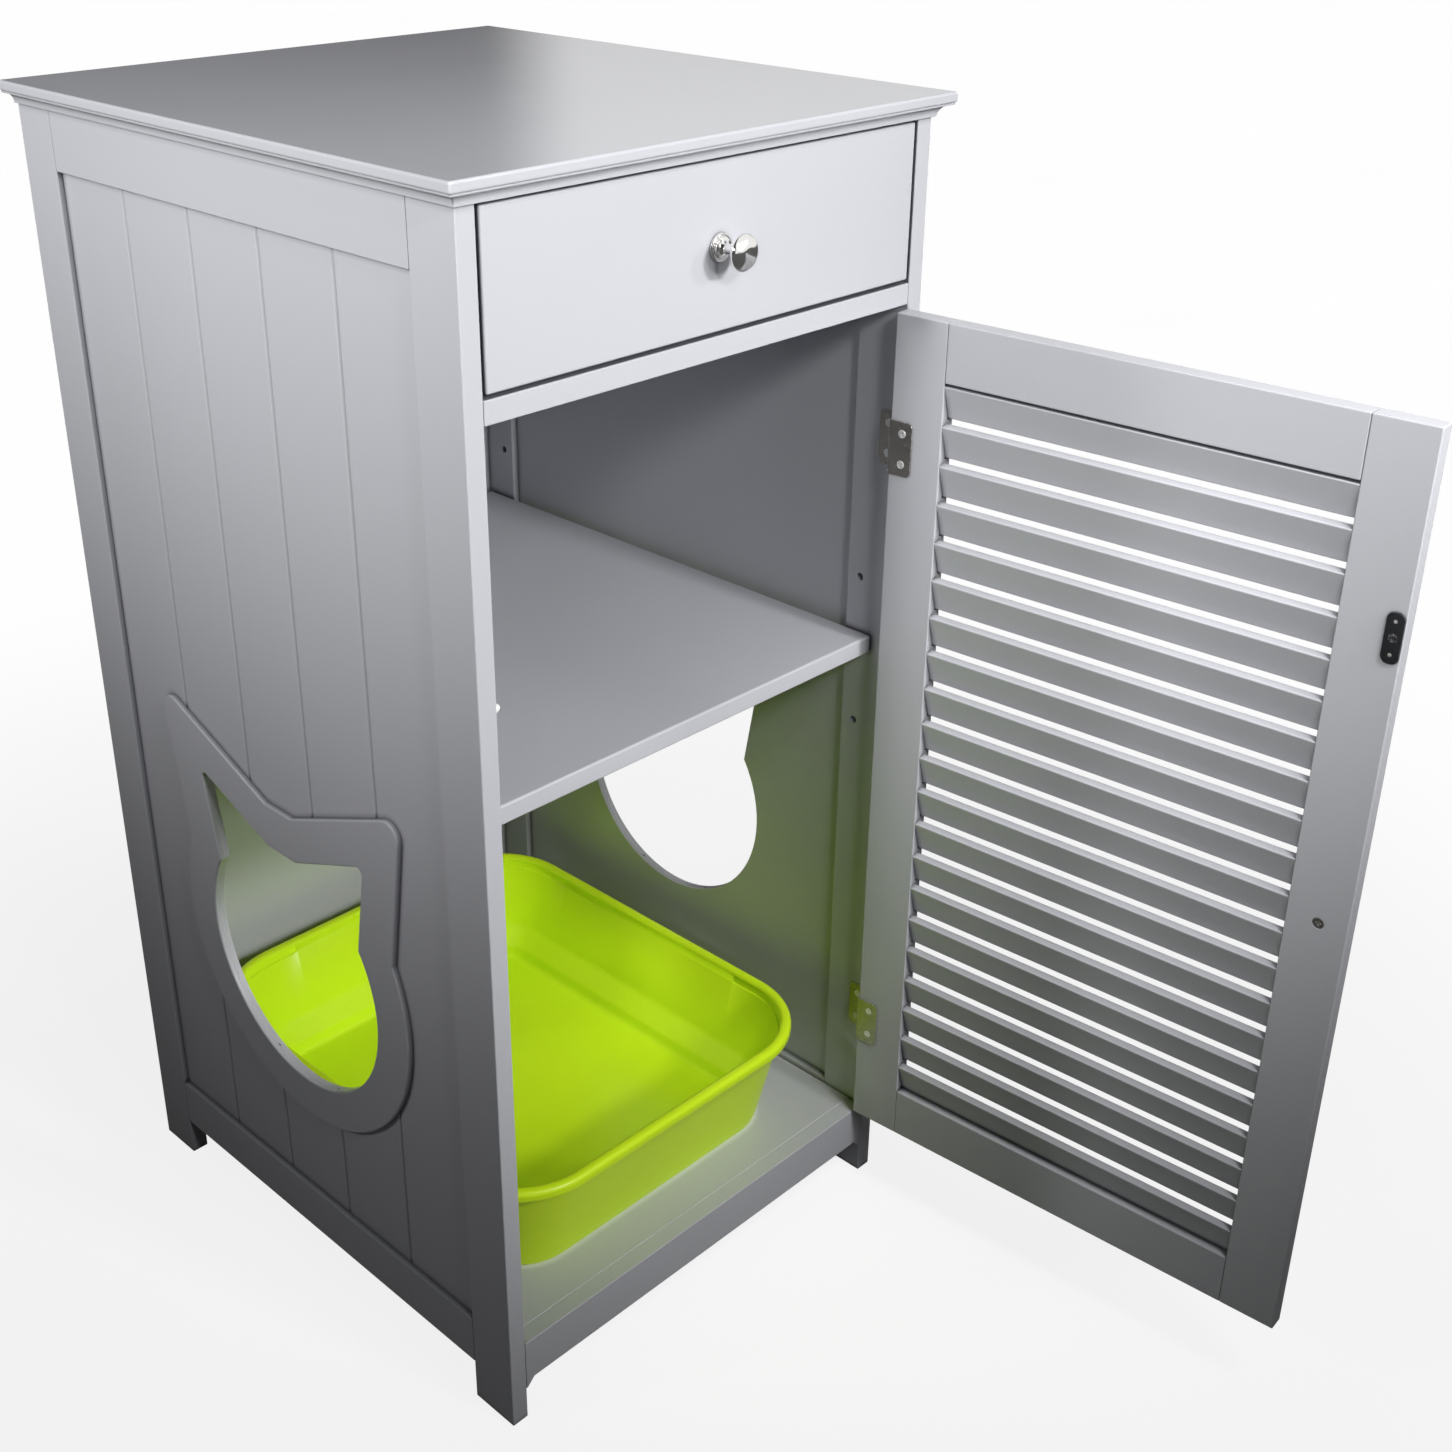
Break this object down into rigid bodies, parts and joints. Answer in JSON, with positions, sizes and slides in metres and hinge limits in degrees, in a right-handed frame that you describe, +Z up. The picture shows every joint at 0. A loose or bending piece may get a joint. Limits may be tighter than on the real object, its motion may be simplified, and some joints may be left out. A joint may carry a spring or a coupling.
{
  "type": "litter box enclosure",
  "caption": "Tall louvred-door cabinet that hides a cat litter pan, with a cat-face opening in each side, a drawer above and an adjustable shelf.",
  "frame": {"origin": "on the floor, in the middle of the footprint of the four legs", "axes": "+Z up, +Y towards the back, +X to the right seen from the front; the door stands open as in the picture"},
  "size_m": [0.4535, 0.8438, 0.9],
  "materials": {
    "grey_paint": "satin grey paint on timber",
    "chrome": "polished chrome plate",
    "steel": "nickel-plated steel",
    "black_steel": "black coated steel",
    "white_nylon": "matt white nylon",
    "green_plastic": "semi-gloss lime green plastic",
    "ferrite": "plain ferrite",
    "beech": "bare beech"
  },
  "bodies": {
    "cabinet": {"apron": "grey_paint", "back_bottom_rail": "grey_paint", "back_panel": "grey_paint", "back_top_rail": "grey_paint", "catch_magnet": "ferrite", "catch_pole_plates": "steel", "catch_screws": "steel", "cornice_front": "grey_paint", "cornice_left": "grey_paint", "cornice_right": "grey_paint", "door_stop_peg": "white_nylon", "drawer_rail": "grey_paint", "floor_board": "grey_paint", "frame_hinge_leaves": "steel", "frame_hinge_screws": "steel", "front_top_rail": "grey_paint", "hinge_pins": "steel", "left_back_stile": "grey_paint", "left_bottom_rail": "grey_paint", "left_cat_trim": "grey_paint", "left_drawer_runner": "grey_paint", "left_floor_cleat": "grey_paint", "left_front_stile": "grey_paint", "left_panel": "grey_paint", "left_top_rail": "grey_paint", "magnet_catch": "white_nylon", "rail_dowels": "beech", "right_back_stile": "grey_paint", "right_bottom_rail": "grey_paint", "right_cat_trim": "grey_paint", "right_drawer_runner": "grey_paint", "right_floor_cleat": "grey_paint", "right_front_stile": "grey_paint", "right_panel": "grey_paint", "right_top_rail": "grey_paint", "shelf": "grey_paint", "shelf_pins": "steel", "top_board": "grey_paint"},
    "door": {"door_hinge_stile": "grey_paint", "door_free_stile": "grey_paint", "door_top_rail": "grey_paint", "door_bottom_rail": "grey_paint", "louvre_slats": "grey_paint", "door_hinge_leaves": "steel", "door_hinge_screws": "steel", "door_knob": "chrome", "door_knob_screw": "steel", "strike_plate": "black_steel", "strike_plate_screw": "steel"},
    "drawer": {"drawer_front": "grey_paint", "drawer_left_side": "grey_paint", "drawer_right_side": "grey_paint", "drawer_back": "grey_paint", "drawer_bottom": "grey_paint", "drawer_knob": "chrome", "drawer_knob_screw": "steel"},
    "litter_pan": {"litter_pan": "green_plastic"}
  },
  "joints": [
    {"name": "door_hinge", "type": "hinge", "parent": "cabinet", "child": "door", "pos_m": [0.1881, -0.234, 0.41525], "axis": [0, 0, 1], "range_deg": [-94, 76]},
    {"name": "drawer_slide", "type": "slide", "parent": "cabinet", "child": "drawer", "axis": [0, -1, 0], "range_m": [0, 0.3]},
    {"name": "pan_slide", "type": "slide", "parent": "cabinet", "child": "litter_pan", "axis": [0, -1, 0], "range_m": [-0.02, 0.004]}
  ]
}
